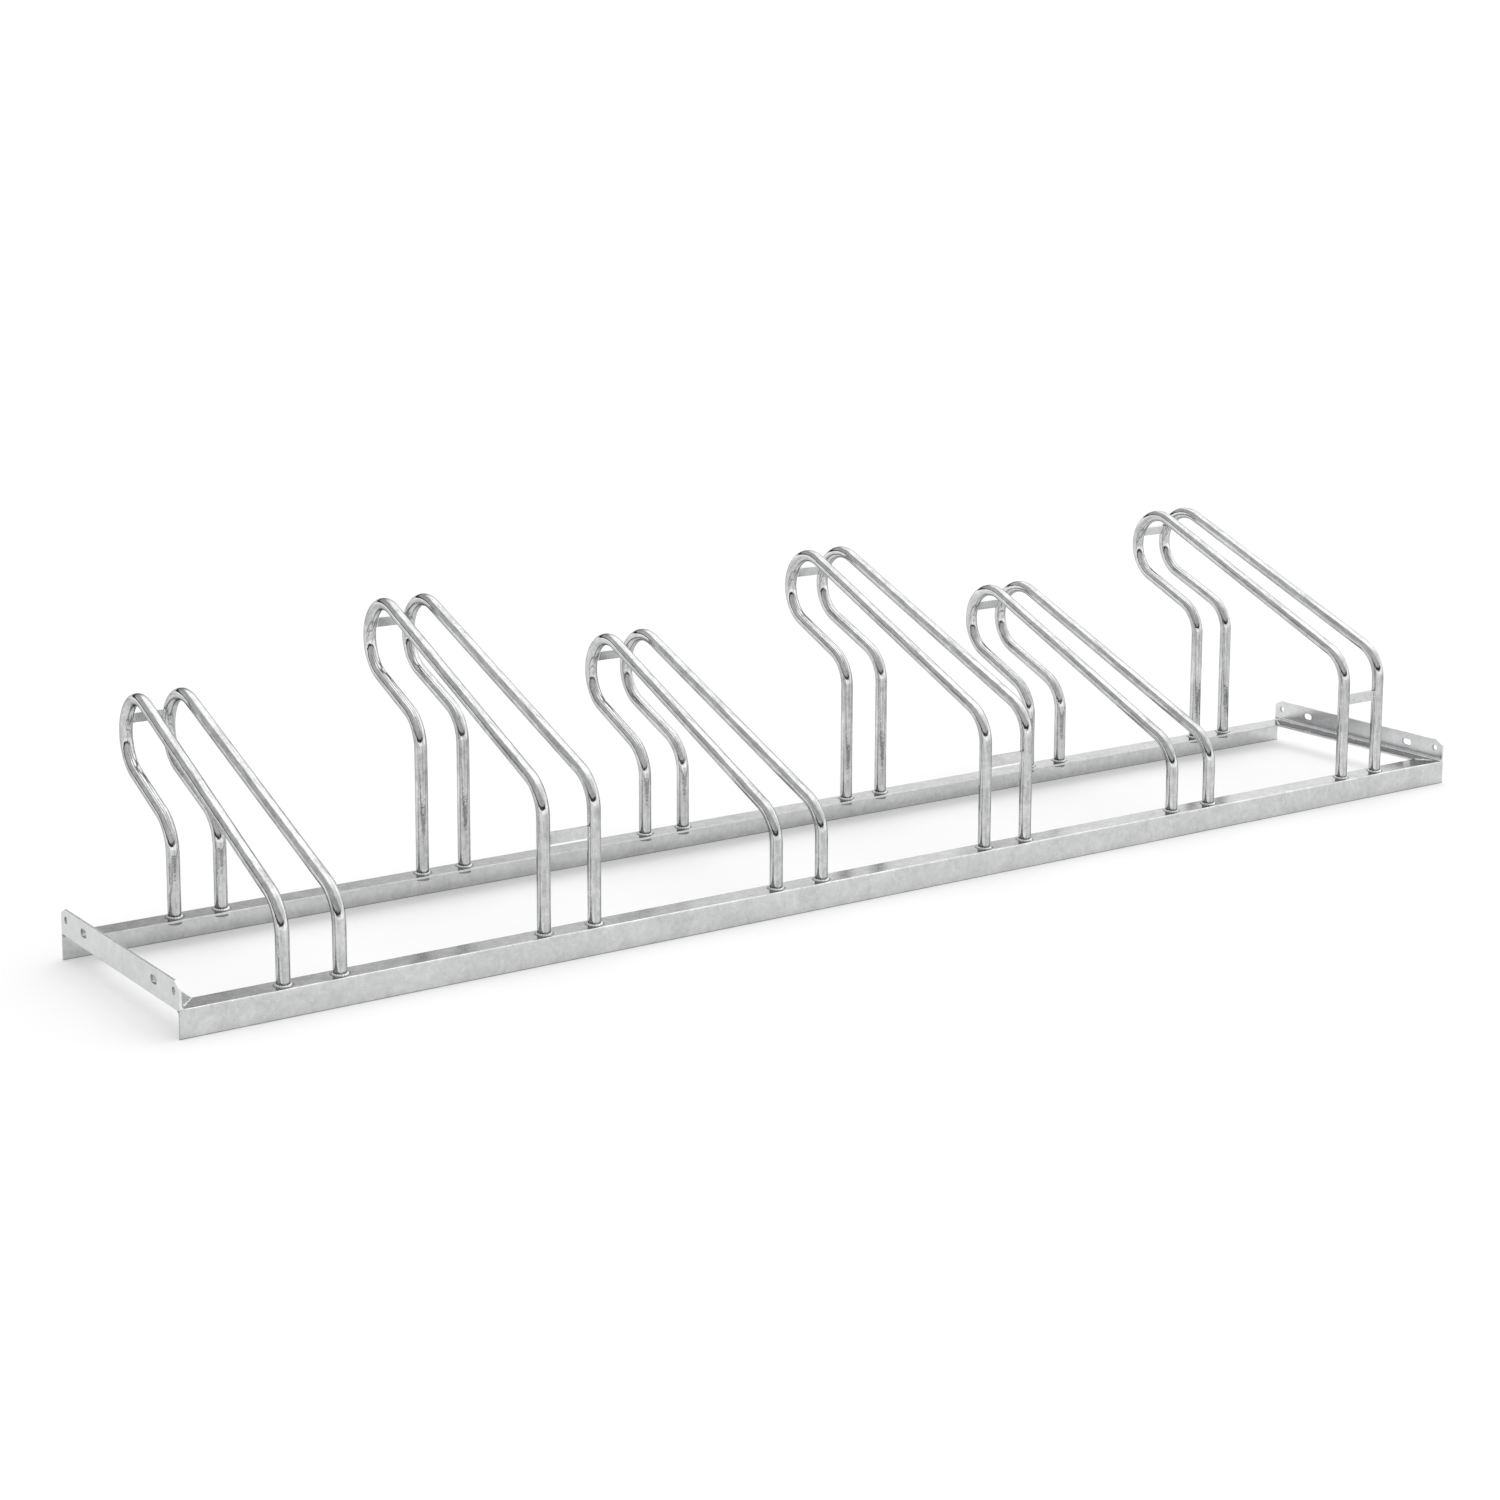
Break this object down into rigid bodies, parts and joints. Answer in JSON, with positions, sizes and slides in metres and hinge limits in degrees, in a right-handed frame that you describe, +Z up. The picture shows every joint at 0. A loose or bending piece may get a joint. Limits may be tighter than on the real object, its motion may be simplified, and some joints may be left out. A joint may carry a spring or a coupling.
{
  "type": "floor bike rack",
  "caption": "Free-standing floor rack of galvanised steel: bent tube hoops in pairs, alternately low and high, on a flat frame of angle bar with bolt slots at both ends.",
  "frame": {"origin": "on the floor, under the middle of the rack's overall length and of its overall depth, hoops included", "axes": "+X along the rack from its left end to its right end, +Y from the front, where wheels go in, to the back, +Z up"},
  "size_m": [2.1, 0.4926, 0.3909],
  "materials": {
    "galvanised_tube": "hot-dip galvanised, satin with glossy patches",
    "galvanised_angle": "hot-dip galvanised, satin",
    "galvanised_bar": "hot-dip galvanised, satin",
    "galvanised_weld": "hot-dip galvanised weld bead, bright"
  },
  "bodies": {
    "root": {"front_rail": "galvanised_angle", "rear_rail": "galvanised_angle", "left_end_angle": "galvanised_angle", "right_end_angle": "galvanised_angle", "bay_1_left_hoop": "galvanised_tube", "bay_1_right_hoop": "galvanised_tube", "bay_2_left_hoop": "galvanised_tube", "bay_2_right_hoop": "galvanised_tube", "bay_3_left_hoop": "galvanised_tube", "bay_3_right_hoop": "galvanised_tube", "bay_4_left_hoop": "galvanised_tube", "bay_4_right_hoop": "galvanised_tube", "bay_5_left_hoop": "galvanised_tube", "bay_5_right_hoop": "galvanised_tube", "bay_6_left_hoop": "galvanised_tube", "bay_6_right_hoop": "galvanised_tube", "bay_1_top_spreader": "galvanised_bar", "bay_2_top_spreader": "galvanised_bar", "bay_3_top_spreader": "galvanised_bar", "bay_4_top_spreader": "galvanised_bar", "bay_5_top_spreader": "galvanised_bar", "bay_6_top_spreader": "galvanised_bar", "bay_2_front_spreader": "galvanised_bar", "bay_4_front_spreader": "galvanised_bar", "bay_6_front_spreader": "galvanised_bar", "front_foot_welds": "galvanised_weld", "rear_foot_welds": "galvanised_weld", "top_spreader_welds": "galvanised_weld", "front_spreader_welds": "galvanised_weld", "corner_welds": "galvanised_weld"}
  },
  "joints": []
}
